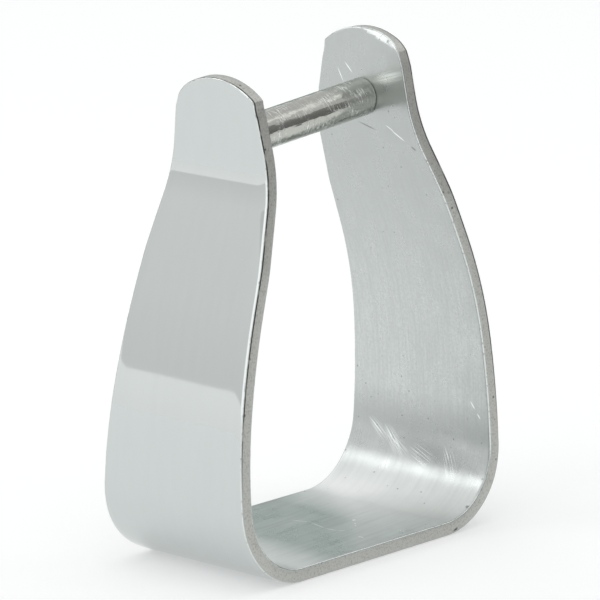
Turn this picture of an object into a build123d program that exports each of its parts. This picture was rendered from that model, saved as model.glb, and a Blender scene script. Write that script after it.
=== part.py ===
from build123d import *
import os
from math import asin, cos, radians, sin, tan

# A stirrup iron of the slanted kind: one wide strip of aluminium bent into a hoop that is open at
# the top, and a round bar across its neck that the stirrup leather hangs on.
# The tread lies flat with its underside on z = 0, and the origin is under the tread's middle.
# +Z is up, X goes from the short branch (-X) to the long one (+X), and the foot goes in along Y.
# Lengths are in millimetres and angles in degrees.

# ---- the strip ----
strip_thickness = 4.76
tread_flat_half = 35.5
bottom_bend_radius = 25.1
neck_bend_radius = 46.0
edge_rounding = 0.6
corner_rounding = 5.0

# ---- the two branches, which the same bends make ----
# A heading is the strip's own direction, seen along Y: 0 runs along the tread, 90 straight up, and
# more than 90 leans in over the tread. Each branch rises from the bottom bend in three gentle
# curves of one length, goes through the neck bend, and ends in a straight ear.
short_branch = {
    "headings": [89.5, 100.4, 107.8, 109.1],
    "ear_heading": 85.0,
    "side_length": 95.8,
    "ear_length": 22.6,
    "taper_height": 103.0,
}
long_branch = {
    "headings": [89.1, 96.8, 112.2, 115.3],
    "ear_heading": 91.7,
    "side_length": 106.6,
    "ear_length": 21.3,
    "taper_height": 114.0,
}

# ---- the strip's width, as half widths either side of its middle ----
tread_half_width = 31.7
neck_half_width = 25.8
ear_corner_half_width = 17.3
taper_start_height = 14.0
taper_start_radius = 180.0
taper_change_radius = 320.0
ear_top_radius = 25.9

# ---- the crossbar and how its ends are held ----
bar_radius = 6.35
bar_height = 143.1
bar_slant = 5.4
spigot_radius = 4.76
weld_depth = 1.6
weld_flare = 1.4

# ---- room for the cuts to run past what they cut ----
cut_margin = 5.0


def strip_runs(branch):
    """Mid-line length and turn of each run, from the tread's middle to past the ear's end."""
    headings = branch["headings"]
    top_heading = headings[-1]
    neck_turn = branch["ear_heading"] - top_heading
    side_run = branch["side_length"] / (len(headings) - 1)
    runs = [(tread_flat_half, 0.0), (bottom_bend_radius * radians(headings[0]), headings[0])]
    for before, after in zip(headings, headings[1:]):
        runs.append((side_run, after - before))
    runs.append((neck_bend_radius * radians(-neck_turn), neck_turn))
    runs.append((branch["ear_length"], 0.0))
    return runs


def strip_line(branch, offset, extra=0.0):
    """Edges of one branch on +X, this far inside the strip's mid-line, and the ear's end point."""
    here = Vector(0, strip_thickness / 2 + offset)
    heading = 0.0
    edges = []
    runs = strip_runs(branch)
    runs[-1] = (runs[-1][0] + extra, 0.0)
    for length, turn in runs:
        forward = Vector(cos(radians(heading)), sin(radians(heading)))
        if turn == 0.0:
            edge = Line(here, here + forward * length)
        else:
            radius = length / radians(abs(turn))
            radius += -offset if turn > 0 else offset
            edge = JernArc(here, forward, radius, turn)
        edges.append(edge)
        here = edge @ 1
        heading += turn
    return edges, here


def ear_point(branch):
    """Middle of the ear's end on the mid-line: how far out it is and how high."""
    end = strip_line(branch, 0.0)[1]
    return end.X, end.Y


def strip_side_view(branch):
    """The strip's section along its length, seen along Y, for one branch on +X."""
    inner, inner_end = strip_line(branch, strip_thickness / 2, cut_margin)
    outer, outer_end = strip_line(branch, -strip_thickness / 2, cut_margin)
    middle = Line(outer[0] @ 0, inner[0] @ 0)
    end = Line(inner_end, outer_end)
    return make_face(Curve() + inner + outer + [middle, end])


def inside_view(branch):
    """All that one branch on +X encloses, seen along Y."""
    inner, inner_end = strip_line(branch, strip_thickness / 2, cut_margin)
    top = Line(inner_end, (0, inner_end.Y))
    middle = Line((0, inner_end.Y), inner[0] @ 0)
    return make_face(Curve() + inner + [top, middle])


def width_view(branch):
    """The strip's outline seen along X: wide tread, tapering sides and a rounded ear top."""
    ear_top = ear_point(branch)[1]
    half_angle = asin(ear_corner_half_width / ear_top_radius)
    corner_height = ear_top - ear_top_radius * (1 - cos(half_angle))
    corner = (ear_corner_half_width, corner_height)
    right = FilletPolyline(
        (tread_half_width, -cut_margin),
        (tread_half_width, taper_start_height),
        (neck_half_width, branch["taper_height"]),
        corner,
        radius=[taper_start_radius, taper_change_radius],
    )
    left = mirror(right, about=Plane.YZ)
    top = ThreePointArc(corner, (0, ear_top), (-corner[0], corner[1]))
    bottom = Line((-tread_half_width, -cut_margin), (tread_half_width, -cut_margin))
    return make_face(Curve() + [right, left, top, bottom])


def side_solid(view, half_depth):
    """A view seen along Y, made solid to the same depth either way."""
    return extrude(Plane.XZ * view, half_depth, both=True)


def blank_branch(branch):
    """One branch on +X with its half of the tread, before the ear's hole."""
    bent = side_solid(strip_side_view(branch), tread_half_width + cut_margin)
    outline = extrude(Plane.YZ * width_view(branch), 2 * (tread_flat_half + bottom_bend_radius))
    return bent & outline


def to_side(shape, branch):
    """The short branch is on -X, so what is modelled on +X is mirrored for it."""
    return mirror(shape, about=Plane.YZ) if branch is short_branch else shape


def runs_through(edge):
    """True for an edge that goes through the strip's thickness, on its cut edge."""
    span = edge @ 1 - edge @ 0
    return abs(span.Y) < 0.01 and abs(span.Z) < 0.01 and edge.length < 2 * strip_thickness


def runs_across(edge):
    """True for a straight edge from one side of the strip to the other, where a bend starts."""
    span = edge @ 1 - edge @ 0
    return abs(span.Y) > 0.99 * edge.length


def round_edges(strip):
    """Ease the ear corners, then every edge between a face of the strip and its cut edge."""
    corners = [edge for edge in strip.edges() if runs_through(edge) and (edge @ 0).Z > bar_height]
    strip = fillet(corners, corner_rounding)
    rims = [edge for edge in strip.edges() if not runs_through(edge) and not runs_across(edge)]
    return fillet(rims, edge_rounding)


def blank_strip():
    """The whole bent strip, before its holes."""
    halves = [to_side(blank_branch(branch), branch) for branch in (short_branch, long_branch)]
    return halves[0] + halves[1]


def bar_plane(branch):
    """A plane in the ear, square to the bar where the bar meets the mid-line, facing outwards."""
    out, up = ear_point(branch)
    side = -1 if branch is short_branch else 1
    rise = side * tan(radians(bar_slant))
    lean = 1 / tan(radians(branch["ear_heading"]))
    distance = (out + lean * (bar_height - up)) / (1 - lean * rise)
    height = bar_height + rise * distance
    return Plane((side * distance, 0, height), z_dir=(side, 0, side * rise))


def spigot(branch):
    """The turned-down end of the bar that fills the ear's hole up to the weld."""
    length = strip_thickness / 2 - weld_depth + strip_thickness
    plane = bar_plane(branch).offset(strip_thickness / 2 - weld_depth)
    return extrude(plane * Circle(spigot_radius), -length)


def weld_tool(branch):
    """The flared mouth of the ear's hole, run past the outer face."""
    depth = weld_depth + 1.0
    plane = bar_plane(branch).offset(strip_thickness / 2 - weld_depth)
    wide = spigot_radius + weld_flare * depth / weld_depth
    return loft([plane * Circle(spigot_radius), plane.offset(depth) * Circle(wide)])


def make_strip(blank):
    """The bent strip with a hole through each ear."""
    for branch in (short_branch, long_branch):
        blank = blank - spigot(branch) - weld_tool(branch)
    return blank


def make_crossbar():
    """The round bar, shaped at each end to the ear it stands against, with its two spigots."""
    middle = Plane((0, 0, bar_height), z_dir=(cos(radians(bar_slant)), 0, sin(radians(bar_slant))))
    reach = tread_flat_half + bottom_bend_radius
    bar = extrude(middle * Circle(bar_radius), reach, both=True)
    insides = [
        to_side(side_solid(inside_view(branch), 2 * bar_radius), branch)
        for branch in (short_branch, long_branch)
    ]
    bar = bar & (insides[0] + insides[1])
    return bar + spigot(short_branch) + spigot(long_branch)


def make_weld(blank, branch):
    """The weld that closes an ear's hole, dressed flush with the ear's outer face."""
    return weld_tool(branch) & blank


def write_part(name, shape):
    """Write one node, named for what it is."""
    shape.label = name
    export_step(shape, "parts/" + name + ".step")


os.makedirs("parts", exist_ok=True)
strip_blank = round_edges(blank_strip())
write_part("stirrup_body", make_strip(strip_blank))
write_part("crossbar", make_crossbar())
write_part("plug_weld_short_side", make_weld(strip_blank, short_branch))
write_part("plug_weld_long_side", make_weld(strip_blank, long_branch))
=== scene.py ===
"""A slanted stirrup iron: one bent aluminium strip and its crossbar, with a small studio."""
from math import asin, atan2, cos, degrees, pi, radians, sin, sqrt

import bpy
from mathutils import Matrix, Vector


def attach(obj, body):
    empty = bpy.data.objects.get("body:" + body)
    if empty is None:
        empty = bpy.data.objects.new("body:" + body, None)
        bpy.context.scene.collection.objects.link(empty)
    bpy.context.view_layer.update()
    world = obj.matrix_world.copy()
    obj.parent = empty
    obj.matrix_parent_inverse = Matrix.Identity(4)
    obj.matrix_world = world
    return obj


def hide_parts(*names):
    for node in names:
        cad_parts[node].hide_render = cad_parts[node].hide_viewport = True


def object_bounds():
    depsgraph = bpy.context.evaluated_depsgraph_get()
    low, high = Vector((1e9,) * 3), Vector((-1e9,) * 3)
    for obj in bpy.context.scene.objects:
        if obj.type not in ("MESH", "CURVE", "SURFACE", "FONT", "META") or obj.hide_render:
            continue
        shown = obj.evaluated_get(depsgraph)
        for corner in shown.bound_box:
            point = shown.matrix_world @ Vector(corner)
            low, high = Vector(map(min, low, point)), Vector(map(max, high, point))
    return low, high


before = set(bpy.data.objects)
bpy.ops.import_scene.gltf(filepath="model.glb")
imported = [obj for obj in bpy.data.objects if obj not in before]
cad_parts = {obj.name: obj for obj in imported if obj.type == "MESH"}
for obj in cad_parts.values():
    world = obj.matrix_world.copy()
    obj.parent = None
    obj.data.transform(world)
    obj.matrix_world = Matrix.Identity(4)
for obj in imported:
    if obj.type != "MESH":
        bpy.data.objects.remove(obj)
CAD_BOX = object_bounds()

bl_info = {
    "name": "Slanted stirrup iron",
    "version": (1, 0, 0),
    "blender": (4, 5, 0),
    "location": "3D View > Sidebar > Stirrup",
    "description": "Bends an aluminium strip into a stirrup, fits its crossbar and lights it",
    "category": "Object",
}

MM = 0.001

# The two branches of the strip. A heading is the strip's own direction in degrees, seen from the
# front: 0 runs along the tread, 90 straight up, and more than 90 leans in over the tread.
# A corner of the ear has its distance from the strip's middle line, and its rounding.
BRANCHES = (
    {
        "side": -1,
        "headings": (89.5, 100.4, 107.8, 109.1),
        "ear_heading": 85.0,
        "side_length": 95.8 * MM,
        "ear_length": 22.6 * MM,
        "taper_height": 103.0 * MM,
        "corners": {"front": (16.8 * MM, 2.5 * MM), "back": (17.3 * MM, 13.0 * MM)},
    },
    {
        "side": 1,
        "headings": (89.1, 96.8, 112.2, 115.3),
        "ear_heading": 91.7,
        "side_length": 106.6 * MM,
        "ear_length": 21.3 * MM,
        "taper_height": 114.0 * MM,
        "corners": {"front": (16.8 * MM, 11.0 * MM), "back": (16.5 * MM, 1.8 * MM)},
    },
)

# Slots of the strip's materials, in the order that its faces use.
SATIN, POLISHED, GROUND, ARRIS, SHADE_LINE = range(5)


# ---------------------------------------------------------------- settings


def length_property(name, description, millimetres):
    """A length that the user can change, with its default in millimetres."""
    return bpy.props.FloatProperty(
        name=name, description=description, default=millimetres * MM, min=0.0, unit="LENGTH"
    )


def angle_property(name, description, angle):
    """An angle that the user can change, with its default in degrees."""
    return bpy.props.FloatProperty(
        name=name, description=description, default=radians(angle), subtype="ANGLE"
    )


def number_property(name, description, value):
    """A plain number that the user can change."""
    return bpy.props.FloatProperty(name=name, description=description, default=value, min=0.0)


def colour_property(name, description, hex_colour):
    """A colour that the user can change, with its default as an sRGB hex value."""
    return bpy.props.FloatVectorProperty(
        name=name,
        description=description,
        subtype="COLOR",
        size=3,
        min=0.0,
        max=1.0,
        default=linear(hex_colour),
    )


def linear(hex_colour):
    """An sRGB hex colour as the linear red, green and blue that a shader takes."""
    channels = [int(hex_colour[i : i + 2], 16) / 255 for i in (1, 3, 5)]
    return tuple(c / 12.92 if c <= 0.04045 else ((c + 0.055) / 1.055) ** 2.4 for c in channels)


class StripSettings(bpy.types.PropertyGroup):
    """Sizes and finishes of the bent strip."""

    thickness: length_property("Thickness", "Thickness of the strip", 4.76)
    tread_flat_half: length_property("Half tread", "Half the flat length of the tread", 35.5)
    tread_half_width: length_property("Half width", "Half the strip's width at the tread", 31.7)
    neck_half_width: length_property("Neck half width", "Half width where the taper changes", 25.8)
    taper_start: length_property("Taper start", "Height at which the sides start to taper", 14.0)
    bottom_bend: length_property("Bottom bend", "Mid-line radius of the bottom bends", 25.1)
    neck_bend: length_property("Neck bend", "Mid-line radius of the neck bends", 46.0)
    ear_top: length_property("Ear top", "Radius of the ear's rounded top", 25.9)
    roll_reach: length_property("Roll reach", "Width of the rolled-off rim of the buffed face", 3.6)
    roll_drop: length_property("Roll drop", "How far the buffed face falls away at its edge", 0.22)
    outer_arris: length_property("Outer arris", "Rounding of the outer face's edges", 0.4)
    inner_arris: length_property("Inner arris", "Rounding of the inner face's edges", 0.42)
    groove: length_property("Groove", "Width of the dark line beside the outer arris", 0.3)
    worn_reach: length_property("Worn reach", "Width of the worn corner of the long ear", 2.2)
    worn_drop: length_property("Worn drop", "Depth of the worn corner of the long ear", 1.1)
    polished_colour: colour_property("Polished", "Reflection colour of the buffed face", "#CCD1D0")
    satin_colour: colour_property("Satin", "Reflection colour of the brushed face", "#CDD2D0")
    ground_colour: colour_property("Ground", "Reflection colour of the ground edges", "#C6C7C2")


class BarSettings(bpy.types.PropertyGroup):
    """Sizes and finish of the crossbar."""

    radius: length_property("Radius", "Radius of the round bar", 6.35)
    height: length_property("Height", "Height of the bar's axis at the middle", 143.1)
    slant: angle_property("Slant", "How far the bar tilts up to the long branch", 5.4)
    rim: length_property("Rim", "Bevel round each end of the bar", 0.55)
    spigot_inset: length_property("Spigot inset", "How much thinner the spigot is all round", 1.6)
    spigot_length: length_property("Spigot length", "How far the spigot runs into the ear", 3.0)
    colour: colour_property("Bar", "Reflection colour of the bar", "#BABBB5")


class StudioSettings(bpy.types.PropertyGroup):
    """The floor, the lights and the camera."""

    azimuth: angle_property("Azimuth", "Which way the camera looks, from +Y towards +X", 47.42)
    elevation: angle_property("Elevation", "How steeply the camera looks down", 13.02)
    roll: angle_property("Roll", "How far the camera turns about its own line of sight", -0.3)
    distance: length_property("Distance", "From the camera to the stirrup", 1528.0)
    lens: number_property("Lens", "Focal length in millimetres on a 36 mm sensor", 280.0)
    aim_height: length_property("Aim height", "Height of the point that the camera aims near", 85.0)
    shift_right: length_property("Shift right", "How far the stirrup moves right in the view", 1.28)
    shift_up: length_property("Shift up", "How far the stirrup moves up in the view", 2.89)
    floor_colour: colour_property("Floor", "Colour of the floor", "#DADBDB")
    floor_glow: number_property("Floor glow", "How much light comes up through the floor", 0.34)
    floor_size: length_property("Floor size", "Length of each side of the floor", 9000.0)
    world_light: number_property("Room light", "Brightness of the room all round", 0.75)
    overhead_size: length_property("Overhead size", "Side of the light above", 1800.0)
    overhead_height: length_property("Overhead height", "Height of the light above", 2400.0)
    overhead_light: number_property("Overhead light", "Brightness of the light above", 1.3)


# ---------------------------------------------------------------- materials


def add_node(tree, kind, settings=None, inputs=None):
    """Add one node. Its settings are attributes, and an input is either a value or a socket."""
    node = tree.nodes.new(kind)
    for name, value in (settings or {}).items():
        setattr(node, name, value)
    for name, value in (inputs or {}).items():
        if isinstance(value, bpy.types.NodeSocket):
            tree.links.new(value, node.inputs[name])
        else:
            node.inputs[name].default_value = value
    return node


def new_material(name, colour):
    """A named material with its node tree, its shader and the colour that the viewport shows."""
    material = bpy.data.materials.new(name)
    material.use_nodes = True
    material.diffuse_color = (*colour, 1.0)
    tree = material.node_tree
    tree.nodes.clear()
    shader = add_node(tree, "ShaderNodeBsdfPrincipled", inputs={"Base Color": (*colour, 1.0)})
    add_node(tree, "ShaderNodeOutputMaterial", inputs={"Surface": shader.outputs["BSDF"]})
    return material, tree, shader


def new_metal(name, colour, roughness=0.5):
    """A named material whose shader is a metal."""
    material, tree, shader = new_material(name, colour)
    shader.inputs["Metallic"].default_value = 1.0
    shader.inputs["Roughness"].default_value = roughness
    return material, tree, shader


def object_height(tree):
    """Height above the floor in metres."""
    place = add_node(tree, "ShaderNodeTexCoord").outputs["Object"]
    return add_node(tree, "ShaderNodeSeparateXYZ", inputs={"Vector": place}).outputs["Z"]


def placed(tree, sizes_mm, centre_mm=(0.0, 0.0, 0.0), turn=(0.0, 0.0, 0.0)):
    """Object coordinates from a centre, turned, and counted in pattern sizes in millimetres."""
    place = add_node(tree, "ShaderNodeTexCoord").outputs["Object"]
    mapping = add_node(
        tree,
        "ShaderNodeMapping",
        {"vector_type": "TEXTURE"},
        {
            "Vector": place,
            "Location": [c * MM for c in centre_mm],
            "Rotation": [radians(angle) for angle in turn],
            "Scale": [size * MM for size in sizes_mm],
        },
    )
    return mapping.outputs["Vector"]


def noise(tree, place, detail=2.0):
    """Soft random values, about 0.5, that change over one pattern size."""
    inputs = {"Vector": place, "Scale": 1.0, "Detail": detail}
    return add_node(tree, "ShaderNodeTexNoise", inputs=inputs).outputs["Fac"]


def ramp(tree, value, low, high, to_low=0.0, to_high=1.0):
    """Stretch the values between low and high to the two new limits, and cut off the rest."""
    inputs = {"Value": value, "From Min": low, "From Max": high}
    inputs.update({"To Min": to_low, "To Max": to_high})
    return add_node(tree, "ShaderNodeMapRange", inputs=inputs).outputs["Result"]


def combine(tree, operation, a, b):
    """One math operation on two values."""
    node = add_node(tree, "ShaderNodeMath", {"operation": operation})
    for socket, value in zip(node.inputs, (a, b)):
        if isinstance(value, bpy.types.NodeSocket):
            tree.links.new(value, socket)
        else:
            socket.default_value = value
    return node.outputs["Value"]


def times(tree, a, b):
    """Two values multiplied."""
    return combine(tree, "MULTIPLY", a, b)


def bumped(tree, height, strength, depth_mm, normal=None):
    """The surface's direction after small dents and ridges of this depth."""
    inputs = {"Height": height, "Strength": strength, "Distance": depth_mm * MM}
    if normal is not None:
        inputs["Normal"] = normal
    return add_node(tree, "ShaderNodeBump", inputs=inputs).outputs["Normal"]


def patch(tree, sizes_mm, centre_mm, turn=(0.0, 0.0, 0.0), soft=0.5):
    """1 inside a round or long patch with these half sizes, falling to 0 at its rim."""
    place = placed(tree, sizes_mm, centre_mm, turn)
    length = add_node(tree, "ShaderNodeVectorMath", {"operation": "LENGTH"}, {"Vector": place})
    return ramp(tree, length.outputs["Value"], 1 - soft, 1.0, 1.0, 0.0)


def scratches(tree, sizes_mm, turn, centre_mm, reach_mm, cut):
    """Fine parallel scratches within a patch, where the noise is over the cut."""
    lines = ramp(tree, noise(tree, placed(tree, sizes_mm, centre_mm, turn), 1.0), cut, cut + 0.05)
    return times(tree, lines, patch(tree, reach_mm, centre_mm, turn, 0.7))


def pits(tree, spacing_mm, radius, share):
    """Small round pits on this share of an uneven grid. Their radius is a part of the spacing."""
    place = placed(tree, (spacing_mm,) * 3)
    cells = add_node(tree, "ShaderNodeTexVoronoi", inputs={"Vector": place, "Scale": 1.0})
    dots = ramp(tree, cells.outputs["Distance"], radius * 0.5, radius, 1.0, 0.0)
    chance = add_node(tree, "ShaderNodeSeparateColor", inputs={"Color": cells.outputs["Color"]})
    return times(tree, dots, combine(tree, "LESS_THAN", chance.outputs["Red"], share))


def tint(tree, colour, factor, other):
    """Mix a colour or colour socket with another colour by a factor socket."""
    node = add_node(tree, "ShaderNodeMix", {"data_type": "RGBA"})
    # A mix node has a set of sockets for each kind of data. These are the ones for colours.
    factor_in, first, second = node.inputs[0], node.inputs[6], node.inputs[7]
    tree.links.new(factor, factor_in)
    if isinstance(colour, bpy.types.NodeSocket):
        tree.links.new(colour, first)
    else:
        first.default_value = (*colour, 1.0)
    second.default_value = (*other, 1.0)
    return node.outputs[2]


def shade(colour, factor):
    """A colour made darker or lighter."""
    return tuple(min(1.0, c * factor) for c in colour)


def polished_aluminium(colour):
    """Aluminium buffed on a wheel: a near mirror that is a little hazy and not quite flat."""
    material, tree, shader = new_metal("polished_aluminium_buffed", colour)
    waves = noise(tree, placed(tree, (30, 40, 30)), 1.0)
    haze = noise(tree, placed(tree, (18, 3, 18)), 4.0)
    cloudy = tint(tree, colour, ramp(tree, haze, 0.35, 0.75), shade(colour, 0.985))
    tree.links.new(cloudy, shader.inputs["Base Color"])
    tree.links.new(ramp(tree, haze, 0.3, 0.7, 0.04, 0.06), shader.inputs["Roughness"])
    tree.links.new(bumped(tree, waves, 0.15, 0.15), shader.inputs["Normal"])
    return material


# Single marks on the tread: middle, half length and half width in millimetres, and the mark's
# direction in degrees from +X. Then the same for marks on the long branch, which run down towards
# the front at this many degrees.
TREAD_MARKS = (
    ((4.5, 6.5, 4.8), 3.7, 0.28, -70.0),
    ((4.6, -1.3, 4.8), 4.8, 0.30, -104.0),
    ((3.8, -8.3, 4.8), 2.9, 0.30, -83.0),
    ((5.0, -11.7, 4.8), 1.4, 0.26, -40.0),
    ((17.3, -6.2, 4.8), 1.0, 0.70, 20.0),
    ((14.5, -9.2, 4.8), 0.7, 0.35, 60.0),
    ((12.5, -11.2, 4.8), 0.6, 0.30, 20.0),
    ((3.5, -21.7, 4.8), 2.0, 0.28, 80.0),
)
BRANCH_LIGHT_MARKS = (
    ((31.3, -13.6, 133.9), 3.6, 0.30, 33.0),
    ((31.0, -10.5, 136.2), 2.2, 0.22, 30.0),
    ((28.6, 5.8, 154.9), 2.6, 0.25, 45.0),
    ((28.7, 9.4, 152.0), 3.2, 0.20, 62.0),
    ((58.1, -23.2, 39.2), 1.9, 0.34, 52.0),
    ((58.2, -25.8, 35.8), 1.3, 0.30, 50.0),
)
BRANCH_DARK_MARKS = (
    ((30.6, -0.5, 135.8), 4.3, 0.36, 16.0),
    ((32.7, -19.2, 130.1), 1.4, 0.50, 38.0),
    ((46.6, -30.9, 7.7), 1.2, 0.45, 8.0),
)
# Bundles of scratches on the long branch at its bottom, and a bundle of light streaks on the long
# ear just
# above the bar: middle, reach along and across the scratches in millimetres, how steeply they run
# down, and the noise's cut. A higher cut leaves fewer scratches.
SCRATCHED = (
    ((57.8, 18.5, 24.0), 6.5, 2.2, 38.0, 0.50),
    ((57.4, 11.5, 21.5), 7.0, 2.6, 46.0, 0.49),
    ((57.0, 8.5, 20.0), 6.0, 2.4, 30.0, 0.52),
    ((56.8, -2.0, 18.5), 6.5, 3.6, 20.0, 0.56),
    ((56.5, -14.5, 18.5), 6.0, 3.4, 56.0, 0.57),
    ((28.6, -12.0, 153.4), 7.5, 2.4, -16.0, 0.44),
)


def satin_marks(tree):
    """The light marks and the dark marks of the brushed face, each as one value."""
    light = 0.0
    dark = pits(tree, 3.6, 0.11, 0.36)
    for centre, length, width, heading in TREAD_MARKS:
        mark = patch(tree, (length, width, 2.0), centre, (0.0, 0.0, heading))
        light = combine(tree, "MAXIMUM", light, mark)
    for centre, length, width, fall in BRANCH_LIGHT_MARKS:
        mark = patch(tree, (length, 2.0, width), centre, (0.0, fall, -90.0))
        light = combine(tree, "MAXIMUM", light, mark)
    for centre, along, across, fall, cut in SCRATCHED:
        turn = (0.0, fall, -90.0)
        bundle = scratches(tree, (26.0, 6.0, 0.24), turn, centre, (along, 7.0, across), cut)
        light = combine(tree, "MAXIMUM", light, bundle)
    for centre, length, width, fall in BRANCH_DARK_MARKS:
        mark = patch(tree, (length, 2.0, width), centre, (0.0, fall, -90.0))
        dark = combine(tree, "MAXIMUM", dark, mark)
    return light, dark


def satin_aluminium(colour):
    """Aluminium brushed along the strip: a soft sheen with fine streaks, pits and old scratches.

    It is worn rougher at the tread's ends, where the boot presses, with painted reflected light
    there, and has painted shade in the bends and towards the top.
    """
    material, tree, shader = new_metal("satin_aluminium_brushed", colour)
    light, dark = satin_marks(tree)
    height = object_height(tree)
    above_tread = ramp(tree, height, 6 * MM, 25 * MM)
    on_tread = combine(tree, "SUBTRACT", 1.0, above_tread)
    # Real brush lines are about 0.1 mm apart, and are drawn at 0.6 mm so that they show. On the
    # tread soles have worn them into broader ones, and have rubbed the grain off.
    brushed = noise(tree, placed(tree, (16, 0.6, 16)), 3.0)
    trodden = noise(tree, placed(tree, (24, 1.7, 16), turn=(0.0, 0.0, 4.0)), 1.0)
    brushed, trodden = times(tree, brushed, above_tread), times(tree, trodden, on_tread)
    streaks = combine(tree, "ADD", brushed, trodden)
    grain = ramp(tree, noise(tree, placed(tree, (0.9, 0.9, 0.9))), 0.4, 0.75)
    mottle = noise(tree, placed(tree, (11, 8, 11)), 3.0)
    finish_and_painted_light = tint(tree, colour, ramp(tree, streaks, 0.4, 0.8), shade(colour, 0.86))
    finish_and_painted_light = tint(tree, finish_and_painted_light, times(tree, grain, above_tread), shade(colour, 0.86))
    rough = ramp(tree, mottle, 0.3, 0.7, 0.24, 0.34)
    for side in (-1, 1):
        # At each tread end the boot wears the face rougher, and painted reflected light makes it
        # lighter.
        rub_and_painted_light = patch(tree, (24, 70, 12), (side * 40, 0, 3), soft=0.9)
        finish_and_painted_light = tint(tree, finish_and_painted_light, times(tree, rub_and_painted_light, 0.9), linear("#FAFBFA"))
        rough = combine(tree, "ADD", rough, times(tree, rub_and_painted_light, 0.26))
        # Painted shade inside each bottom bend.
        bend = patch(tree, (14, 90, 12), (side * 58, 0, 28), soft=0.9)
        finish_and_painted_light = tint(tree, finish_and_painted_light, times(tree, bend, 0.8), shade(colour, 0.66))
    # Painted shade, deepest in the long branch's bend.
    painted_deepest_shade = patch(tree, (9, 26, 7), (58, -7, 20), (14.0, 0.0, 0.0), soft=0.9)
    finish_and_painted_light = tint(tree, finish_and_painted_light, times(tree, painted_deepest_shade, 0.8), shade(colour, 0.6))
    # Painted shade: darker towards the top.
    upper = ramp(tree, height, 70 * MM, 125 * MM, 0.0, 0.85)
    finish_and_painted_light = tint(tree, finish_and_painted_light, upper, shade(colour, 0.80))
    finish_and_painted_light = tint(tree, finish_and_painted_light, times(tree, dark, 0.7), shade(colour, 0.35))
    finish_and_painted_light = tint(tree, finish_and_painted_light, times(tree, light, 0.95), linear("#F6FCFA"))
    relief = combine(tree, "SUBTRACT", streaks, dark)
    tree.links.new(finish_and_painted_light, shader.inputs["Base Color"])
    tree.links.new(rough, shader.inputs["Roughness"])
    tree.links.new(bumped(tree, relief, 0.35, 0.08), shader.inputs["Normal"])
    return material


def ground_aluminium(colour):
    """Aluminium edge off a grinding belt: dull grey, with marks across it, speckle and a nick."""
    material, tree, shader = new_metal("ground_aluminium_edge", colour, 0.48)
    speckle = noise(tree, placed(tree, (0.6, 0.6, 0.6)), 3.0)
    belt_marks = noise(tree, placed(tree, (6.0, 0.5, 0.5)), 1.0)
    relief = combine(tree, "ADD", speckle, belt_marks)
    dull = tint(tree, colour, ramp(tree, speckle, 0.5, 0.75), shade(colour, 0.62))
    dull = tint(tree, dull, pits(tree, 4.0, 0.14, 0.3), shade(colour, 0.3))
    nick = patch(tree, (1.8, 2.5, 0.75), (39.4, -31.7, 1.3), (0.0, -30.0, 0.0), 0.6)
    dull = tint(tree, dull, nick, shade(colour, 0.2))
    tree.links.new(dull, shader.inputs["Base Color"])
    tree.links.new(bumped(tree, relief, 0.5, 0.12), shader.inputs["Normal"])
    return material


def smoothed_arris_painted_highlight(colour):
    """The strip's arrises, smoothed by the buffing wheel: a thin line, painted brighter than the
    buffed face as a painted highlight, with darker nicks.
    """
    material, tree, shader = new_metal("aluminium_arris_smoothed_painted_highlight", colour, 0.18)
    nicks = noise(tree, placed(tree, (1.5, 1.5, 1.5)))
    # Painted highlight: the arris colour is raised above the buffed face's, broken by darker nicks.
    worn = tint(tree, shade(colour, 1.15), ramp(tree, nicks, 0.55, 0.75), shade(colour, 0.6))
    tree.links.new(worn, shader.inputs["Base Color"])
    return material


def painted_shade_line(colour):
    """Where the ground edge starts: a shallow step, painted near black higher up as a painted shade
    line.
    """
    material, tree, shader = new_metal("painted_shade_in_ground_step", colour)
    gaps = ramp(tree, noise(tree, placed(tree, (5.0, 5.0, 5.0)), 3.0), 0.55, 0.65, 0.0, 0.8)
    low_down = ramp(tree, object_height(tree), 30 * MM, 60 * MM, 1.0, 0.0)
    unshaded = combine(tree, "MAXIMUM", low_down, gaps)
    # Painted shade: near black, with lighter gaps, and light again below 30 to 60 mm.
    painted_shade = tint(tree, shade(colour, 0.16), unshaded, shade(colour, 0.95))
    tree.links.new(painted_shade, shader.inputs["Base Color"])
    return material


def worn_bar_aluminium(colour, slant):
    """Polished aluminium bar, dented and scratched round by buckles and leather.

    The slant is the bar's own, in degrees, so that the marks lie along and across it.
    """
    material, tree, shader = new_metal("polished_aluminium_worn_bar", colour)
    along = (0.0, -slant, 0.0)
    rings = noise(tree, placed(tree, (0.4, 4, 4), turn=(0.0, -slant, 12.0)))
    across = noise(tree, placed(tree, (0.35, 5, 5), turn=(0.0, -slant - 25.0, -20.0)))
    rings, across = ramp(tree, rings, 0.56, 0.66), ramp(tree, across, 0.6, 0.68)
    patches = ramp(tree, noise(tree, placed(tree, (9, 4, 4))), 0.42, 0.6)
    scratched = times(tree, combine(tree, "MAXIMUM", rings, across), patches)
    dents = noise(tree, placed(tree, (7, 3.5, 3.5), turn=along))
    drawn = noise(tree, placed(tree, (20, 0.5, 0.5), turn=along))
    dented = bumped(tree, dents, 0.5, 0.5)
    relief = combine(tree, "ADD", scratched, times(tree, drawn, 0.35))
    shiny = tint(tree, colour, scratched, linear("#F6F7F4"))
    tree.links.new(shiny, shader.inputs["Base Color"])
    tree.links.new(ramp(tree, patches, 0.0, 1.0, 0.13, 0.2), shader.inputs["Roughness"])
    tree.links.new(bumped(tree, relief, 0.6, 0.12, dented), shader.inputs["Normal"])
    return material


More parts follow.
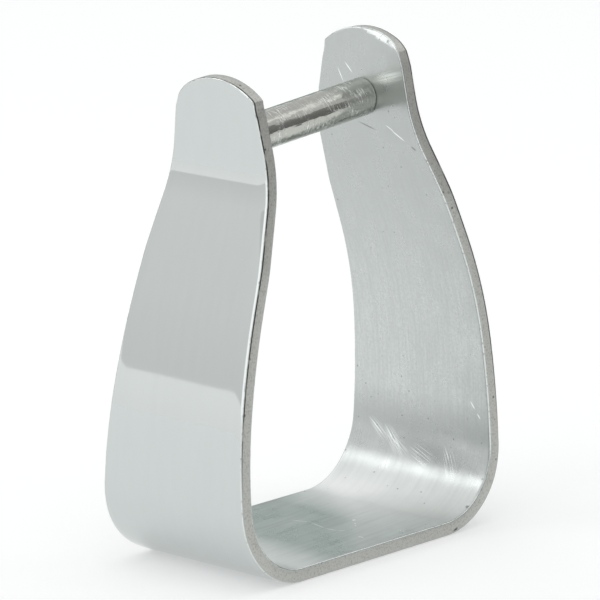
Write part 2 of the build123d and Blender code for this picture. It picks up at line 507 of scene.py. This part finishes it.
def glowing_cloth(name, colour, heights, brightness):
    """A studio panel that glows, with its own brightness at its lower and at its upper height."""
    material, tree, shader = new_material(name, colour)
    shader.inputs["Base Color"].default_value = (0.0, 0.0, 0.0, 1.0)
    shader.inputs["Specular IOR Level"].default_value = 0.0
    shader.inputs["Emission Color"].default_value = (*colour, 1.0)
    glow = ramp(tree, object_height(tree), *heights, *brightness)
    tree.links.new(glow, shader.inputs["Emission Strength"])
    return material


def table_sheet(colour, glow):
    """Matt white plastic sheet, lit a little from below as on a light table."""
    material, _, shader = new_material("matt_table_sheet", colour)
    shader.inputs["Roughness"].default_value = 1.0
    shader.inputs["Specular IOR Level"].default_value = 0.0
    shader.inputs["Emission Color"].default_value = (1.0, 1.0, 1.0, 1.0)
    shader.inputs["Emission Strength"].default_value = glow
    return material


# ---------------------------------------------------------------- modelling help


def start_editing(piece):
    """Make the piece the only one selected, and go into edit mode with nothing of it selected."""
    bpy.ops.object.select_all(action="DESELECT")
    bpy.context.view_layer.objects.active = piece
    piece.select_set(True)
    bpy.ops.object.mode_set(mode="EDIT")
    bpy.ops.mesh.select_all(action="DESELECT")
    bpy.ops.object.mode_set(mode="OBJECT")


def select_edges(piece, wanted):
    """Select the edges that the test picks, and go into edit mode on edges."""
    for edge in piece.data.edges:
        edge.select = wanted(edge)
    bpy.ops.object.mode_set(mode="EDIT")
    bpy.ops.mesh.select_mode(type="EDGE")


def place_in_mesh(piece, name):
    """Put the piece's place, turn and size into its mesh, and name it."""
    bpy.ops.object.select_all(action="DESELECT")
    bpy.context.view_layer.objects.active = piece
    piece.select_set(True)
    bpy.ops.object.transform_apply(location=True, rotation=True, scale=True)
    piece.name = name
    piece.data.name = name


def smooth_faces(piece, angle):
    """Shade the piece smooth, but for edges sharper than this angle in degrees."""
    bpy.ops.object.select_all(action="DESELECT")
    piece.select_set(True)
    bpy.context.view_layer.objects.active = piece
    bpy.ops.object.shade_smooth_by_angle(angle=radians(angle))


def branch_at(place):
    """The branch on the same side as this place."""
    return BRANCHES[0] if place.x < 0 else BRANCHES[1]


def apply_modifier(piece, kind, **settings):
    """Add one modifier with its settings, and apply it."""
    modifier = piece.modifiers.new(kind.title(), kind)
    for name, value in settings.items():
        setattr(modifier, name, value)
    bpy.context.view_layer.objects.active = piece
    bpy.ops.object.modifier_apply(modifier=modifier.name)


# ---------------------------------------------------------------- the bent strip

SHEET_ROWS_ON_TREAD = 16
SHEET_COLUMNS = 32
# Columns lie closer together towards the sheet's sides, by this power.
COLUMN_CROWDING = 1.15
# Degrees of bend for each row. The neck bends have a larger radius and get a few rows more.
BEND_STEP = 1.9
EXTRA_NECK_ROWS = 4
SIDE_ROWS = 14
EAR_ROWS = 6
# Rows of the arched part of the ear, which come closer together towards its top.
ARCHED_ROWS = tuple(step * MM for step in (2.6, 2.2, 1.8, 1.4, 1.1, 0.9, 0.8, 0.7))
ARCHED_PART = sum(ARCHED_ROWS)
# How far the three straight stretches of the strip's sides blend into one another.
TAPER_BLEND = 0.25 * MM
# About which way the buffed face of a branch looks, as parts outwards and upwards.
BRANCH_FACING = (0.97, 0.2)
# Faces with more wear than this get the arrises' material, with its painted highlight.
BRIGHT_WEAR = 0.08
ARRIS_SEGMENTS = 3
STRIP_SMOOTH_ANGLE = 50


def bend_runs(branch, strip):
    """Length, turn and number of rows of each run from the tread's end to the ear's arched part."""
    headings = branch["headings"]
    side_run = branch["side_length"] / (len(headings) - 1)
    neck_turn = branch["ear_heading"] - headings[-1]
    runs = [(strip.bottom_bend * radians(headings[0]), headings[0], round(headings[0] / BEND_STEP))]
    for before, after in zip(headings, headings[1:]):
        runs.append((side_run, after - before, SIDE_ROWS))
    neck_rows = round(-neck_turn / BEND_STEP) + EXTRA_NECK_ROWS
    runs.append((strip.neck_bend * radians(-neck_turn), neck_turn, neck_rows))
    runs.append((branch["ear_length"] - ARCHED_PART, 0.0, EAR_ROWS))
    runs.extend((step, 0.0, 1) for step in ARCHED_ROWS)
    return runs


def half_width_at(height, branch, strip, edge):
    """Half the strip's width at this height on its front or back edge, below the ear's corners."""
    narrow = branch["corners"][edge][0]
    corner = ear_top_height(branch, strip) - corner_depth(narrow, strip)
    start, change = strip.taper_start, branch["taper_height"]
    wide, neck = strip.tread_half_width, strip.neck_half_width
    lower = wide + (neck - wide) * (height - start) / (change - start)
    upper = neck + (narrow - neck) * (height - change) / (corner - change)
    return soft_least(wide, soft_least(lower, upper, TAPER_BLEND), TAPER_BLEND / 2)


def soft_least(a, b, soft):
    """The smaller of two values, with the change from one to the other rounded off."""
    return 0.5 * (a + b - sqrt((a - b) ** 2 + soft * soft))


def corner_depth(narrow, strip):
    """How far a corner of the ear lies below the top of its arc."""
    return strip.ear_top - sqrt(strip.ear_top**2 - narrow**2)


def ear_end(branch, strip):
    """Mid-line point at the top of the ear, as distance out and height, found run by run."""
    out, height, heading = strip.tread_flat_half, strip.thickness / 2, 0.0
    for length, turn, _ in bend_runs(branch, strip):
        middle = radians(heading + turn / 2)
        chord = length if turn == 0.0 else 2 * length / radians(turn) * sin(radians(turn / 2))
        out += chord * cos(middle)
        height += chord * sin(middle)
        heading += turn
    return out, height


def ear_top_height(branch, strip):
    """Height of the top of the ear, on the strip's mid-line."""
    return ear_end(branch, strip)[1]


def bend_branch(sheet, branch, strip):
    """Draw the end of the sheet out into one branch: spin it for a bend, extrude it for the ear."""
    side = branch["side"]
    here = Vector((side * strip.tread_flat_half, 0.0, strip.thickness / 2))
    heading = 0.0
    start_editing(sheet)
    at_end = {point.index for point in sheet.data.vertices if abs(point.co.x - here.x) < 0.1 * MM}
    select_edges(sheet, lambda edge: at_end.issuperset(edge.vertices))
    for length, turn, rows in bend_runs(branch, strip):
        forward = Vector((side * cos(radians(heading)), 0.0, sin(radians(heading))))
        if turn == 0.0:
            for _ in range(rows):
                step = forward * (length / rows)
                bpy.ops.mesh.extrude_region_move(TRANSFORM_OT_translate={"value": step})
            here = here + forward * length
        else:
            radius = length / radians(turn)
            inward = Vector((-side * sin(radians(heading)), 0.0, cos(radians(heading))))
            centre = here + inward * radius
            # Spin turns the other way round its axis from a rotation matrix.
            bpy.ops.mesh.spin(
                steps=rows, angle=radians(turn), center=centre, axis=(0.0, side, 0.0)
            )
            here = centre + Matrix.Rotation(radians(turn), 3, (0.0, -side, 0.0)) @ (here - centre)
        heading += turn
    bpy.ops.object.mode_set(mode="OBJECT")


def cut_to_outline(sheet, strip):
    """Draw the sheet's sides in to the strip's taper, and arch the tops of the ears."""
    for vertex in sheet.data.vertices:
        place = vertex.co
        branch = branch_at(place)
        edge, sign = ("front", -1) if place.y < 0 else ("back", 1)
        share = 1 - max(0.0, 1 - abs(place.y) / strip.tread_half_width) ** COLUMN_CROWDING
        lift = radians(branch["ear_heading"])
        below = (ear_top_height(branch, strip) - place.z) / sin(lift)
        if below > ARCHED_PART:
            place.y = sign * share * half_width_at(place.z, branch, strip, edge)
            continue
        across, arched_below = arch(share, below, branch, strip, edge)
        place.y = sign * across
        place.x -= branch["side"] * cos(lift) * (arched_below - below)
        place.z -= sin(lift) * (arched_below - below)


def arch(share, below, branch, strip, edge):
    """Move a place on the arched part of the ear, given as its share of the width and its depth."""
    narrow, rounding = branch["corners"][edge]
    base_height = ear_top_height(branch, strip) - ARCHED_PART * sin(radians(branch["ear_heading"]))
    base = half_width_at(base_height, branch, strip, edge)
    part = 1 - below / ARCHED_PART
    row_half = base + (narrow - base) * part
    angle = share * asin(narrow / strip.ear_top)
    across = share * row_half * (1 - part) + strip.ear_top * sin(angle) * part
    depth = ARCHED_PART * (1 - part) + strip.ear_top * (1 - cos(angle)) * part
    centre, towards_side, towards_top = corner_circle(base, narrow, rounding, strip)
    arm = Vector((across, -depth)) - centre
    turn = atan2(arm.y, arm.x)
    if arm.length > 0 and towards_side < turn < towards_top:
        ray = arm.normalized()
        to_side = rounding / cos(turn - towards_side)
        from_middle = centre + Vector((0.0, strip.ear_top))
        along = ray.dot(from_middle)
        to_arc = sqrt(along**2 + strip.ear_top**2 - from_middle.length_squared) - along
        arm = arm * (rounding / min(to_side, to_arc))
        across, depth = centre.x + arm.x, -(centre.y + arm.y)
    return across, depth


def corner_circle(base, narrow, rounding, strip):
    """Centre of a corner's rounding, and the directions from it to the rounding's two ends."""
    low = Vector((base, -ARCHED_PART))
    high = Vector((narrow, -corner_depth(narrow, strip)))
    side = (high - low).normalized()
    inward = Vector((-side.y, side.x))
    start = low + inward * rounding
    # The centre lies on a line beside the ear's side, at its distance from the arc's own centre.
    from_arc = start + Vector((0.0, strip.ear_top))
    along = side.dot(from_arc)
    reach = (strip.ear_top - rounding) ** 2 - from_arc.length_squared
    centre = start + side * (sqrt(along**2 + reach) - along)
    outwards = centre + Vector((0.0, strip.ear_top))
    return centre, atan2(-inward.y, -inward.x), atan2(outwards.y, outwards.x)


def edge_distance(place, branch, strip):
    """About how far a place on the strip is from its nearest side or from the arc of its ear."""
    edge = "front" if place.y < 0 else "back"
    distance = half_width_at(place.z, branch, strip, edge) - abs(place.y)
    below = ear_top_height(branch, strip) - place.z
    if below < strip.ear_top:
        distance = min(distance, strip.ear_top - sqrt(place.y**2 + (strip.ear_top - below) ** 2))
    return max(0.0, distance)


def places_of(mesh, slot):
    """The vertices of the faces that use this material slot."""
    wanted = {i for face in mesh.polygons if face.material_index == slot for i in face.vertices}
    return [mesh.vertices[i] for i in sorted(wanted)]


def roll_off(piece, strip):
    """Let the buffed outer face fall away a little towards its edges."""
    for vertex in places_of(piece.data, POLISHED):
        branch = branch_at(vertex.co)
        near = max(0.0, 1 - edge_distance(vertex.co, branch, strip) / strip.roll_reach)
        vertex.co -= outward(vertex.co, branch, strip) * strip.roll_drop * near * near


# The worn corner runs along the front half of the long ear's arc. It is widest at this share of
# the way from the middle of the arc to its front corner.
WORN_WIDEST = 0.52


def worn_share(place, strip):
    """How much a place on the inner face is worn, from 0 to 1 at the middle of the worn corner."""
    branch = BRANCHES[1]
    share = -place.y / branch["corners"]["front"][0]
    if place.x < 0 or not 0 < share < 1 or place.z < ear_top_height(branch, strip) - ARCHED_PART:
        return 0.0
    here = share / WORN_WIDEST if share < WORN_WIDEST else (1 - share) / (1 - WORN_WIDEST)
    here = sin(here * pi / 2)
    near = 1 - edge_distance(place, branch, strip) / max(strip.worn_reach * sqrt(here), 0.1 * MM)
    return max(0.0, near) * here


def wear_ear(piece, strip):
    """Wear the inner corner of the long ear down along the front half of its arc."""
    for vertex in places_of(piece.data, SATIN):
        away = outward(vertex.co, BRANCHES[1], strip)
        vertex.co += away * strip.worn_drop * worn_share(vertex.co, strip)


def brighten_worn_corner(piece, strip):
    """Give the worn corner the arrises' material, with its painted highlight."""
    for face in piece.data.polygons:
        if face.material_index == SATIN and worn_share(face.center, strip) > BRIGHT_WEAR:
            face.material_index = ARRIS


def outward(place, branch, strip):
    """Which way the outer face looks at this place on the strip."""
    side = branch["side"]
    out = side * place.x
    centre_x, centre_z = strip.tread_flat_half, strip.thickness / 2 + strip.bottom_bend
    if out < centre_x and place.z < centre_z:
        return Vector((0.0, 0.0, -1.0))
    if place.z < centre_z:
        return Vector((side * (out - centre_x), 0.0, place.z - centre_z)).normalized()
    return Vector((side * BRANCH_FACING[0], 0.0, BRANCH_FACING[1])).normalized()


def make_strip(strip):
    """The whole bent strip: sheet, bends, outline, thickness and rounded arrises."""
    bpy.ops.object.select_all(action="DESELECT")
    bpy.ops.mesh.primitive_grid_add(
        x_subdivisions=SHEET_ROWS_ON_TREAD,
        y_subdivisions=SHEET_COLUMNS,
        size=2.0,
        location=(0.0, 0.0, strip.thickness / 2),
    )
    sheet = bpy.context.object
    sheet.scale = (strip.tread_flat_half, strip.tread_half_width, 1.0)
    place_in_mesh(sheet, "bent_strip")
    for branch in BRANCHES:
        bend_branch(sheet, branch, strip)
    cut_to_outline(sheet, strip)
    start_editing(sheet)
    bpy.ops.object.mode_set(mode="EDIT")
    bpy.ops.mesh.select_all(action="SELECT")
    bpy.ops.mesh.remove_doubles(threshold=0.01 * MM)
    bpy.ops.mesh.normals_make_consistent(inside=False)
    bpy.ops.object.mode_set(mode="OBJECT")
    tread = min(sheet.data.polygons, key=lambda face: face.center.length)
    if tread.normal.z < 0:
        sheet.data.flip_normals()
    for make, colour in (
        (satin_aluminium, strip.satin_colour),
        (polished_aluminium, strip.polished_colour),
        (ground_aluminium, strip.ground_colour),
        (smoothed_arris_painted_highlight, strip.polished_colour),
        (painted_shade_line, strip.ground_colour),
    ):
        sheet.data.materials.append(make(colour))
    apply_modifier(
        sheet, "SOLIDIFY",
        thickness=strip.thickness, offset=0.0, use_even_offset=True,
        material_offset=POLISHED, material_offset_rim=GROUND,
    )
    roll_off(sheet, strip)
    wear_ear(sheet, strip)
    bevel_border(sheet, (POLISHED, GROUND), strip.outer_arris, ARRIS)
    # The groove carries the painted shade line.
    bevel_border(sheet, (ARRIS, GROUND), strip.groove, SHADE_LINE)
    bevel_border(sheet, (SATIN, GROUND), strip.inner_arris, ARRIS)
    brighten_worn_corner(sheet, strip)
    smooth_faces(sheet, STRIP_SMOOTH_ANGLE)
    return sheet


def bevel_border(piece, slots, width, new_slot):
    """Bevel every edge where faces with these two material slots meet."""
    start_editing(piece)
    slots_at = {}
    for face in piece.data.polygons:
        for key in face.edge_keys:
            slots_at.setdefault(key, set()).add(face.material_index)
    select_edges(piece, lambda edge: slots_at[edge.key] == set(slots))
    segments = ARRIS_SEGMENTS if new_slot == ARRIS else 1
    bpy.ops.mesh.bevel(
        offset=width, segments=segments, profile=0.5, material=new_slot, clamp_overlap=False
    )
    bpy.ops.object.mode_set(mode="OBJECT")


class STIRRUP_OT_bent_strip(bpy.types.Operator):
    """Bend the strip: tread, branches and ears, with its polished, satin and ground faces"""

    bl_idname = "stirrup.bent_strip"
    bl_label = "Bent strip"

    def execute(self, context):
        piece = make_strip(context.scene.stirrup_strip)
        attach(piece, "root")
        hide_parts("stirrup_body", "plug_weld_short_side", "plug_weld_long_side")
        return {"FINISHED"}


# ---------------------------------------------------------------- the crossbar

BAR_SIDES = 72
BAR_CUTS = 60
# Edges that reach further than this along the bar are the ones that run from end to end.
LONG_EDGE = 20.0 * MM
# An end face looks more than this along the bar, and a rim edge lies further than this share of
# the radius from its axis.
END_FACING = 0.7
ON_RIM = 0.98
RIM_SEGMENTS = 3
RIM_PROFILE = 0.6
BAR_SMOOTH_ANGLE = 40


def ear_face(branch, strip):
    """A point of the ear's inner face, and which way it faces."""
    out, up = ear_end(branch, strip)
    lift = radians(branch["ear_heading"])
    inward = Vector((-branch["side"] * sin(lift), 0.0, cos(lift)))
    return Vector((branch["side"] * out, 0.0, up)) + inward * strip.thickness / 2, inward


def reach_to(place, along, branch, strip):
    """How far it is from a place, along a direction, to the ear's inner face."""
    point, inward = ear_face(branch, strip)
    return (point - place).dot(inward) / along.dot(inward)


def make_bar(strip, bar):
    """The round bar between the ears, with bevelled rims and a spigot at each end."""
    along = Vector((cos(bar.slant), 0.0, sin(bar.slant)))
    middle = Vector((0.0, 0.0, bar.height))
    low, high = (reach_to(middle, along, branch, strip) for branch in BRANCHES)
    bpy.ops.object.select_all(action="DESELECT")
    bpy.ops.mesh.primitive_cylinder_add(
        vertices=BAR_SIDES, radius=bar.radius, depth=high - low, end_fill_type="NGON",
        location=middle + along * (low + high) / 2, rotation=(0.0, pi / 2 - bar.slant, 0.0),
    )
    piece = bpy.context.object
    place_in_mesh(piece, "round_bar")
    # Each end is cut to the slope of the ear that it stands against.
    for vertex in piece.data.vertices:
        vertex.co += along * reach_to(vertex.co, along, branch_at(vertex.co), strip)
    start_editing(piece)
    for branch in BRANCHES:
        for face in piece.data.polygons:
            face.select = len(face.vertices) == BAR_SIDES and face.center.x * branch["side"] > 0
        bpy.ops.object.mode_set(mode="EDIT")
        bpy.ops.mesh.select_mode(type="FACE")
        bpy.ops.mesh.inset(thickness=bar.spigot_inset)
        inward = along * branch["side"] * bar.spigot_length
        bpy.ops.mesh.extrude_region_move(TRANSFORM_OT_translate={"value": inward})
        bpy.ops.mesh.select_all(action="DESELECT")
        bpy.ops.object.mode_set(mode="OBJECT")
    along_bar = [vertex.co.dot(along) for vertex in piece.data.vertices]
    lengths = {
        edge.index: abs(along_bar[edge.vertices[0]] - along_bar[edge.vertices[1]])
        for edge in piece.data.edges
    }
    select_edges(piece, lambda edge: lengths[edge.index] > LONG_EDGE)
    bpy.ops.mesh.subdivide(number_cuts=BAR_CUTS)
    bpy.ops.mesh.select_all(action="DESELECT")
    bpy.ops.object.mode_set(mode="OBJECT")
    rims = rim_edges(piece, along, middle, bar.radius)
    select_edges(piece, lambda edge: edge.index in rims)
    bpy.ops.mesh.bevel(offset=bar.rim, segments=RIM_SEGMENTS, profile=RIM_PROFILE)
    bpy.ops.object.mode_set(mode="OBJECT")
    piece.data.materials.append(worn_bar_aluminium(bar.colour, degrees(bar.slant)))
    smooth_faces(piece, BAR_SMOOTH_ANGLE)
    return piece


def rim_edges(piece, along, middle, radius):
    """The edges round the bar's two ends, where its round face meets an end face."""
    mesh = piece.data
    faces_at = {}
    for face in mesh.polygons:
        for key in face.edge_keys:
            faces_at.setdefault(key, []).append(abs(face.normal.dot(along)) > END_FACING)
    rims = set()
    for edge in mesh.edges:
        arm = mesh.vertices[edge.vertices[0]].co - middle
        from_axis = (arm - along * arm.dot(along)).length
        if set(faces_at[edge.key]) == {True, False} and from_axis > radius * ON_RIM:
            rims.add(edge.index)
    return rims


class STIRRUP_OT_crossbar(bpy.types.Operator):
    """Fit the round crossbar between the ears"""

    bl_idname = "stirrup.crossbar"
    bl_label = "Crossbar"

    def execute(self, context):
        scene = context.scene
        piece = make_bar(scene.stirrup_strip, scene.stirrup_bar)
        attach(piece, "root")
        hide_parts("crossbar")
        return {"FINISHED"}


# ---------------------------------------------------------------- the studio

WHITE = "#FFFFFF"
# Metres beyond which the camera draws nothing.
FAR_CLIP = 20.0
# How far off the larger panels stand, in metres.
PANEL_RING = 2.6
# Studio panels: name, the way to the panel's middle in degrees from +Y towards +X, its distance
# and width in metres, its lower and upper ends in metres above the floor, its brightness at each
# end, its colour, and whether it is seen in reflections only, without lighting matt surfaces or
# casting a shadow.
PANELS = (
    ("backdrop_left", -44.0, PANEL_RING, 4.4, 0.0, 0.95, 0.80, 0.92, WHITE, False),
    ("softbox_left_rear", -34.0, 2.2, 1.1, 1.45, 2.15, 2.5, 2.0, WHITE, False),
    ("softbox_rear", 8.0, PANEL_RING, 4.2, 1.10, 3.4, 1.05, 1.35, WHITE, False),
    ("backdrop_right", 50.0, PANEL_RING, 3.4, 0.0, 1.10, 0.40, 0.46, "#E8FBF6", False),
    ("softbox_left", -78.0, PANEL_RING, 2.0, 0.0, 2.9, 1.4, 1.6, WHITE, False),
    ("softbox_right", 106.0, 2.3, 1.3, 1.1, 2.7, 1.4, 1.4, WHITE, False),
    ("table_end", -48.0, 1.43, 3.2, 0.0, 0.1525, 1.04, 1.09, WHITE, True),
    ("dark_side", 150.0, 1.2, 3.0, -0.2, 0.7, 0.16, 0.30, WHITE, True),
)


def direction(azimuth, elevation):
    """The unit vector this many degrees round from +Y towards +X, and this many above level."""
    a, e = radians(azimuth), radians(elevation)
    return Vector((sin(a) * cos(e), cos(a) * cos(e), sin(e)))


def add_panel(name, azimuth, distance, width, bottom, top, low, high, colour, gloss_only):
    """A glowing panel that stands round the stirrup, and that the camera itself doesn't see."""
    centre = direction(azimuth, 0.0) * distance + Vector((0.0, 0.0, (bottom + top) / 2))
    facing = Vector((-centre.x, -centre.y, 0.0)).to_track_quat("Z", "Y").to_euler()
    bpy.ops.object.select_all(action="DESELECT")
    bpy.ops.mesh.primitive_plane_add(size=1.0, location=centre, rotation=facing)
    panel = bpy.context.object
    panel.scale = (width, top - bottom, 1.0)
    place_in_mesh(panel, name)
    cloth = glowing_cloth(name + "_cloth", linear(colour), (bottom, top), (low, high))
    panel.data.materials.append(cloth)
    panel.visible_camera = False
    if gloss_only:
        panel.visible_diffuse = False
        panel.visible_shadow = False


def add_overhead(studio):
    """A large soft light straight above the stirrup."""
    height = studio.overhead_height
    bpy.ops.object.select_all(action="DESELECT")
    bpy.ops.mesh.primitive_plane_add(
        size=studio.overhead_size, location=(0.0, 0.0, height), rotation=(pi, 0.0, 0.0)
    )
    panel = bpy.context.object
    place_in_mesh(panel, "softbox_top")
    glow = (studio.overhead_light, studio.overhead_light)
    cloth = glowing_cloth("softbox_top_cloth", linear(WHITE), (0.0, height), glow)
    panel.data.materials.append(cloth)
    panel.visible_camera = False


def add_camera(studio):
    """The camera, at the angle and distance of the settings."""
    data = bpy.data.cameras.new("studio_camera")
    data.lens = studio.lens
    data.clip_end = FAR_CLIP
    camera = bpy.data.objects.new("studio_camera", data)
    bpy.context.scene.collection.objects.link(camera)
    sight = direction(degrees(studio.azimuth), -degrees(studio.elevation))
    level = Vector((cos(studio.azimuth), -sin(studio.azimuth), 0.0))
    upright = level.cross(sight)
    right = level * cos(studio.roll) + upright * sin(studio.roll)
    up = upright * cos(studio.roll) - level * sin(studio.roll)
    aim = Vector((0.0, 0.0, studio.aim_height)) - right * studio.shift_right - up * studio.shift_up
    camera.matrix_world = Matrix((right, up, -sight)).transposed().to_4x4()
    camera.location = aim - sight * studio.distance
    bpy.context.scene.camera = camera


def add_floor(studio):
    """The wide pale floor that the stirrup stands on."""
    bpy.ops.object.select_all(action="DESELECT")
    floor_height = CAD_BOX[0][2]
    bpy.ops.mesh.primitive_plane_add(size=studio.floor_size, location=(0.0, 0.0, floor_height))
    floor = bpy.context.object
    place_in_mesh(floor, "studio_floor")
    floor.data.materials.append(table_sheet(studio.floor_colour, studio.floor_glow))


def light_room(studio):
    """An even pale light from all round."""
    world = bpy.data.worlds.new("studio_room")
    bpy.context.scene.world = world
    world.use_nodes = True
    background = world.node_tree.nodes["Background"]
    background.inputs["Color"].default_value = (1.0, 1.0, 1.0, 1.0)
    background.inputs["Strength"].default_value = studio.world_light


class STIRRUP_OT_studio(bpy.types.Operator):
    """Lay the floor, hang the light panels and set the camera"""

    bl_idname = "stirrup.studio"
    bl_label = "Studio"

    def execute(self, context):
        studio = context.scene.stirrup_studio
        add_floor(studio)
        for panel in PANELS:
            add_panel(*panel)
        add_overhead(studio)
        light_room(studio)
        add_camera(studio)
        context.scene.view_settings.view_transform = "Standard"
        return {"FINISHED"}


# ---------------------------------------------------------------- the add-on


class STIRRUP_PT_sidebar(bpy.types.Panel):
    """The stirrup's sizes, finishes and buttons"""

    bl_idname = "STIRRUP_PT_sidebar"
    bl_label = "Stirrup"
    bl_space_type = "VIEW_3D"
    bl_region_type = "UI"
    bl_category = "Stirrup"

    def draw(self, context):
        for settings, button in (
            (context.scene.stirrup_strip, STIRRUP_OT_bent_strip.bl_idname),
            (context.scene.stirrup_bar, STIRRUP_OT_crossbar.bl_idname),
            (context.scene.stirrup_studio, STIRRUP_OT_studio.bl_idname),
        ):
            box = self.layout.box()
            for name in settings.__annotations__:
                box.prop(settings, name)
            box.operator(button)


CLASSES = (
    StripSettings,
    BarSettings,
    StudioSettings,
    STIRRUP_OT_bent_strip,
    STIRRUP_OT_crossbar,
    STIRRUP_OT_studio,
    STIRRUP_PT_sidebar,
)


def register():
    """Add the classes and the scene's settings."""
    for cls in CLASSES:
        bpy.utils.register_class(cls)
    bpy.types.Scene.stirrup_strip = bpy.props.PointerProperty(type=StripSettings)
    bpy.types.Scene.stirrup_bar = bpy.props.PointerProperty(type=BarSettings)
    bpy.types.Scene.stirrup_studio = bpy.props.PointerProperty(type=StudioSettings)


def unregister():
    """Take the settings and classes away again."""
    del bpy.types.Scene.stirrup_strip
    del bpy.types.Scene.stirrup_bar
    del bpy.types.Scene.stirrup_studio
    for cls in reversed(CLASSES):
        bpy.utils.unregister_class(cls)


def main():
    """Build the stirrup and its studio."""
    register()
    bpy.ops.stirrup.studio()
    bpy.ops.stirrup.bent_strip()
    bpy.ops.stirrup.crossbar()


if __name__ == "__main__":
    main()
